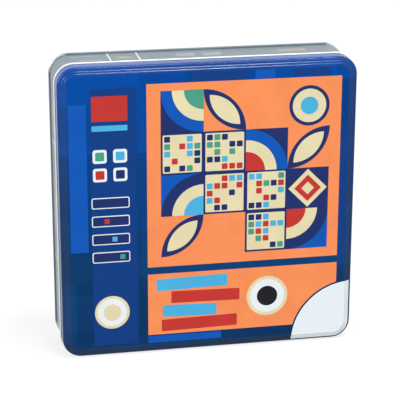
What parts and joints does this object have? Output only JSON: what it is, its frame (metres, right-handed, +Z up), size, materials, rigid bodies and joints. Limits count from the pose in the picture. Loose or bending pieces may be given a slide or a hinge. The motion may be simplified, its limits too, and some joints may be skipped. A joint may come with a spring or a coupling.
{
  "type": "game tin",
  "caption": "Square slip-lid tinplate case for a travel word tile game, standing on its edge, with an insert tray, rolled mat, racks, letter tiles, bag and leaflet inside.",
  "frame": {"origin": "middle of the edge that the tin stands on, under its centre", "axes": "+Z up the standing tin, -Y out of the lid's face, +X to the right seen from the front"},
  "size_m": [0.24, 0.05, 0.24],
  "materials": {
    "printed_tinplate": "gloss",
    "grey_tinplate": "satin",
    "plain_tinplate": "satin",
    "tray_plastic": "satin",
    "mat_cloth": "matte",
    "rack_plastic": "satin",
    "bag_cloth": "matte",
    "leaflet_paper": "matte",
    "tile_plastic": "satin"
  },
  "bodies": {
    "tin_base": {"base_wall": "grey_tinplate", "base_bottom": "plain_tinplate"},
    "lid": {"lid": "printed_tinplate"},
    "tray": {"insert_tray": "tray_plastic"},
    "mat": {"game_mat": "mat_cloth"},
    "rack_1": {"tile_rack_1": "rack_plastic"},
    "rack_2": {"tile_rack_2": "rack_plastic"},
    "rack_3": {"tile_rack_3": "rack_plastic"},
    "rack_4": {"tile_rack_4": "rack_plastic"},
    "tiles": {"tile_stack_1": "tile_plastic", "tile_stack_2": "tile_plastic", "tile_stack_3": "tile_plastic", "tile_stack_4": "tile_plastic", "tile_stack_5": "tile_plastic", "tile_stack_6": "tile_plastic", "tile_stack_7": "tile_plastic", "tile_stack_8": "tile_plastic", "tile_stack_9": "tile_plastic", "tile_stack_10": "tile_plastic", "tile_stack_11": "tile_plastic", "tile_stack_12": "tile_plastic", "tile_stack_13": "tile_plastic", "tile_stack_14": "tile_plastic", "tile_stack_15": "tile_plastic", "tile_stack_16": "tile_plastic", "tile_stack_17": "tile_plastic", "tile_stack_18": "tile_plastic", "tile_stack_19": "tile_plastic", "tile_stack_20": "tile_plastic", "tile_stack_21": "tile_plastic", "tile_stack_22": "tile_plastic", "tile_stack_23": "tile_plastic", "tile_stack_24": "tile_plastic", "tile_stack_25": "tile_plastic"},
    "leaflet": {"rules_leaflet": "leaflet_paper"},
    "bag": {"tile_bag": "bag_cloth"}
  },
  "joints": [
    {"name": "lid_lift", "type": "slide", "parent": "tin_base", "child": "lid", "axis": [0, -1, 0], "range_m": [0, 0.18]},
    {"name": "tray_lift", "type": "slide", "parent": "tin_base", "child": "tray", "axis": [0, -1, 0], "range_m": [0, 0.06]},
    {"name": "mat_lift", "type": "slide", "parent": "tray", "child": "mat", "axis": [0, -1, 0], "range_m": [0, 0.05]},
    {"name": "rack_1_lift", "type": "slide", "parent": "tray", "child": "rack_1", "axis": [0, -1, 0], "range_m": [0, 0.046]},
    {"name": "rack_2_lift", "type": "slide", "parent": "tray", "child": "rack_2", "axis": [0, -1, 0], "range_m": [0, 0.042]},
    {"name": "rack_3_lift", "type": "slide", "parent": "tray", "child": "rack_3", "axis": [0, -1, 0], "range_m": [0, 0.038]},
    {"name": "rack_4_lift", "type": "slide", "parent": "tray", "child": "rack_4", "axis": [0, -1, 0], "range_m": [0, 0.034]},
    {"name": "tiles_lift", "type": "slide", "parent": "tray", "child": "tiles", "axis": [0, -1, 0], "range_m": [0, 0.044]},
    {"name": "leaflet_lift", "type": "slide", "parent": "tray", "child": "leaflet", "axis": [0, -1, 0], "range_m": [0, 0.046]},
    {"name": "bag_lift", "type": "slide", "parent": "tray", "child": "bag", "axis": [0, -1, 0], "range_m": [0, 0.066]}
  ],
  "couplings": [
    {"joint": "tray_lift", "follows": "lid_lift", "ratio": 0.3333},
    {"joint": "mat_lift", "follows": "lid_lift", "ratio": 0.2777},
    {"joint": "rack_1_lift", "follows": "lid_lift", "ratio": 0.2555},
    {"joint": "rack_2_lift", "follows": "lid_lift", "ratio": 0.2333},
    {"joint": "rack_3_lift", "follows": "lid_lift", "ratio": 0.2111},
    {"joint": "rack_4_lift", "follows": "lid_lift", "ratio": 0.1888},
    {"joint": "tiles_lift", "follows": "lid_lift", "ratio": 0.2444},
    {"joint": "leaflet_lift", "follows": "lid_lift", "ratio": 0.2555},
    {"joint": "bag_lift", "follows": "lid_lift", "ratio": 0.3666}
  ]
}
